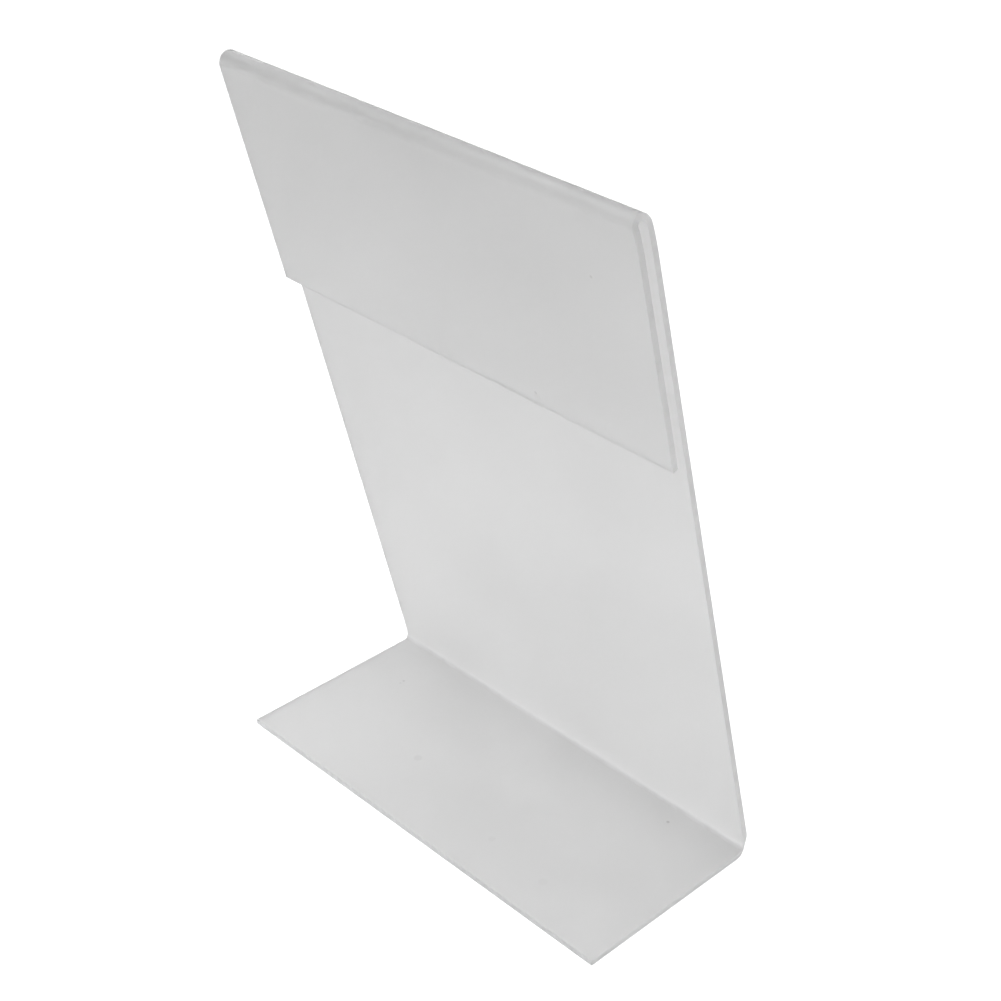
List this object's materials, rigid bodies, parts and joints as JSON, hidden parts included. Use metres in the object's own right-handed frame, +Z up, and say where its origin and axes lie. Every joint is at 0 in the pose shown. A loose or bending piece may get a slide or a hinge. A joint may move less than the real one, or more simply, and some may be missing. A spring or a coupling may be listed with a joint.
{
  "type": "sign holder",
  "caption": "Slant-back tabletop sign holder bent from clear plastic sheet: flat base, leaning display panel and a top flap that folds over to hold a card against it.",
  "frame": {"origin": "on the table, under the middle of the holder's bounding box", "axes": "+Z up, X along the sheet's width, +Y towards the reader of the sign; the base and the flap lie behind the panel, towards -Y"},
  "size_m": [0.1016, 0.0462, 0.1525],
  "materials": {
    "clear_plastic": "clear sheet with a faint grey haze, smooth faces and square-cut edges"
  },
  "bodies": {
    "root": {"base_plate": "clear_plastic", "base_bend": "clear_plastic", "display_panel": "clear_plastic", "top_bend_front": "clear_plastic", "top_bend_back": "clear_plastic", "retaining_flap": "clear_plastic"}
  },
  "joints": []
}
